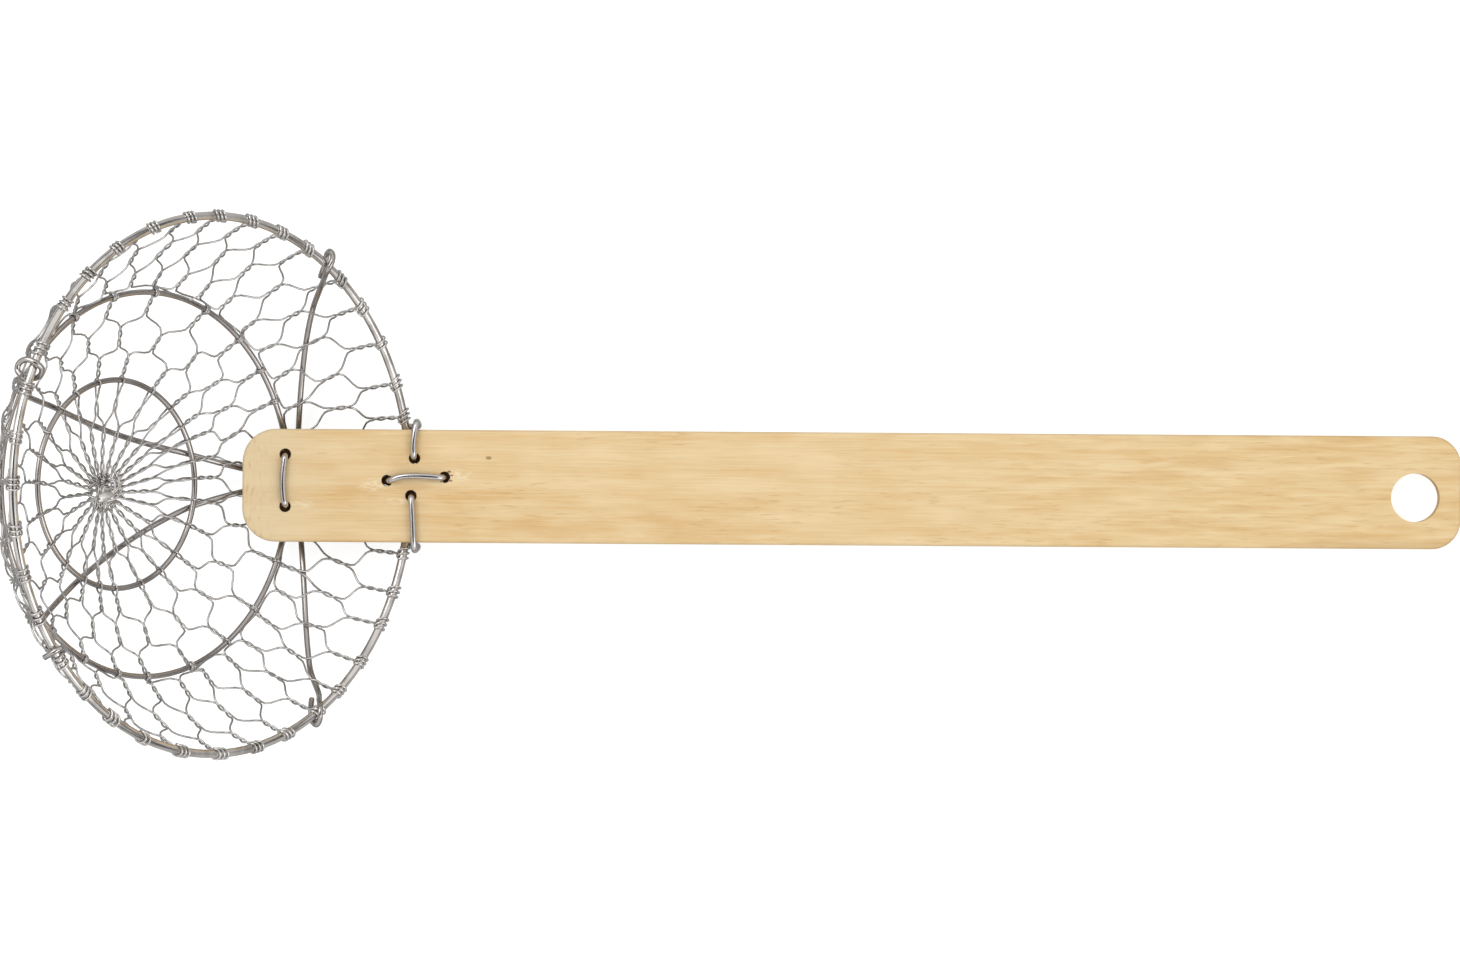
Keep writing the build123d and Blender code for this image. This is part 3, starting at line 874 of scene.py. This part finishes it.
stitch_wire_radius = 0.87
stitches = {
    "tip_stitch": (
        (14.6, 8.26, -13.94), (10.6, 8.26, -13.9), (9.5, 8.26, -12.9), (9.35, 8.26, -9.8),
        (11.2, 8.26, -5.4), (11.4, 8.2, -1.5), (11.35, 7.6, 0.5), (11.2, 6.2, 1.0),
        (10.8, 1.6, 1.1), (11.05, -3.2, 1.0), (11.5, -4.9, 0.5), (11.5, -5.6, -1.5),
        (11.3, -5.6, -5.3), (9.6, -5.6, -10.0), (9.7, -5.6, -12.9), (10.8, -5.6, -13.9),
        (14.4, -5.6, -13.92),
    ),
    "rim_staple": (
        (43.4, 1.45, -9.37), (39.6, 1.45, -9.35), (38.5, 1.45, -8.3), (38.5, 1.45, -3.0),
        (38.6, 1.4, -0.8), (39.6, 1.55, 0.6), (41.5, 2.3, 1.15), (44.6, 2.7, 1.25),
        (49.0, 2.6, 1.1), (52.2, 2.35, 0.75), (53.5, 2.35, -0.4), (53.7, 2.4, -3.0),
        (53.7, 2.4, -8.3), (52.6, 2.4, -9.35), (44.7, 2.4, -9.37),
    ),
    "edge_stitch_left": (
        (49.7, 7.4, -5.86), (46.9, 7.4, -5.86), (45.75, 7.4, -4.9), (45.7, 7.4, -2.0),
        (45.6, 7.6, -0.2), (45.5, 8.4, 0.95), (45.4, 11.0, 1.2), (45.8, 14.6, 1.1),
        (46.15, 16.7, 0.3), (46.2, 17.0, -1.8), (46.2, 16.1, -7.4), (45.0, 15.86, -8.8),
        (42.5, 15.86, -8.8),
    ),
    "edge_stitch_right": (
        (48.8, -2.55, -5.86), (46.0, -2.55, -5.86), (44.85, -2.55, -4.9), (44.8, -2.55, -2.0),
        (44.85, -2.8, -0.2), (45.0, -3.8, 1.0), (45.3, -8.0, 1.25), (45.6, -13.8, 1.15),
        (45.8, -16.6, 0.3), (46.0, -16.9, -1.8), (46.2, -16.1, -7.4), (45.0, -15.86, -8.8),
        (42.5, -15.86, -8.8),
    ),
}
for name, points in stitches.items():
    line = smooth_line([Vector(point) for point in points])
    wire(
        "bent_" + name, [line], stitch_wire_radius, stitch_steel,
        [name], handle_to_world, sides=5,
    )

# painted shade: dark plugs in the bottom of each stitch hole, so that little light comes through
plug_corners_around = 40
plug_gaps = (0.0, 0.02, 0.05, 0.1, 0.25)
plug_depths = (-3.0, -2.4)
hole_plug_mesh = bpy.data.meshes.new("hole_shade_plugs")
shape = bmesh.new()


def hole_plug_point(x, y, z):
    """A corner of the holes' shade plugs, from its place in the handle's frame."""
    return shape.verts.new(handle_to_world @ Vector((x, y, z)) * MM)


for hole_x, hole_y in stitch_holes:
    depth = hand.uniform(*plug_depths)
    around = []
    for i in range(plug_corners_around):
        angle = 2 * pi * i / plug_corners_around
        reach = stitch_hole_radius - hand.choice(plug_gaps)
        x, y = hole_x + reach * cos(angle), hole_y + reach * sin(angle)
        low = depth - 0.5 - hand.uniform(0, 0.3)
        around.append((hole_plug_point(x, y, depth), hole_plug_point(x, y, low)))
    top_middle = hole_plug_point(hole_x, hole_y, depth + 0.2)
    low_middle = hole_plug_point(hole_x, hole_y, depth - 0.6)
    for (top, low), (next_top, next_low) in zip(around, around[1:] + around[:1]):
        shape.faces.new((top, next_top, top_middle))
        shape.faces.new((next_low, low, low_middle))
        shape.faces.new((next_top, top, low, next_low))
shape.to_mesh(hole_plug_mesh)
shape.free()
add_piece("hole_shade_plugs", hole_plug_mesh, bamboo_finish)

# Floor, light and background: the floor's glow makes it white to the camera alone, with less
# of it in mirrored light

floor_half = 3.0
floor_grey = 0.45
floor_glow = 0.78
mirrored_glow = 0.12

floor_mesh = bpy.data.meshes.new("floor")
corners = [(-1, -1), (1, -1), (1, 1), (-1, 1)]
floor_mesh.from_pydata(
    [(floor_half * x, floor_half * y, 0) for x, y in corners], [], [(0, 1, 2, 3)]
)
floor = bpy.data.objects.new("floor", floor_mesh)
scene.collection.objects.link(floor)
paper = Paint(bpy.data.materials.new("white_paper"))
mirrored = paper.ray("Is Glossy Ray").math("MAXIMUM", paper.ray("Is Transmission Ray"))
glow = paper.add("ShaderNodeEmission", None, {
    "Color": (1, 1, 1, 1),
    "Strength": paper.ray("Is Camera Ray") * floor_glow + mirrored * mirrored_glow,
})
paper.set(
    Base_Color=(floor_grey, floor_grey, floor_grey, 1), Roughness=0.9, Specular_IOR_Level=0.0
)
plain = Shade(paper, paper.tree.nodes["Principled BSDF"].outputs[0])
paper.set("Material Output", Surface=paper.add("ShaderNodeAddShader", None, {0: plain, 1: glow}))
floor_mesh.materials.append(paper.owner)

# a bright wall of light all round, dark low down and straight above, so that wires have
# dark edges
scene.world = bpy.data.worlds.new("studio")
sky = Paint(scene.world)
height = sky.parts(sky.add("ShaderNodeTexCoord"))[2]
level = height.step(0.03, 0.24).between(0.02, 0.96) * height.step(0.84, 0.94).between(1.0, 0.06)
seen = sky.ray("Is Camera Ray")
sky.set("Background", Color=(1, 1, 1, 1), Strength=level * (1 - seen) + seen)


def lamp(name, place, size, watts):
    """A soft box aimed at the middle of the skimmer."""
    data = bpy.data.lights.new(name, "AREA")
    data.shape = "RECTANGLE"
    data.size, data.size_y = size
    data.energy = watts
    light = bpy.data.objects.new(name, data)
    scene.collection.objects.link(light)
    light.location = place
    light.rotation_euler = (-Vector(place)).to_track_quat("-Z", "Y").to_euler()


lamp("top_left_softbox", (-0.75, 0.75, 1.5), (1.3, 1.1), 9.5)
lamp("low_right_softbox", (1.1, -0.8, 1.3), (0.9, 1.1), 5.3)
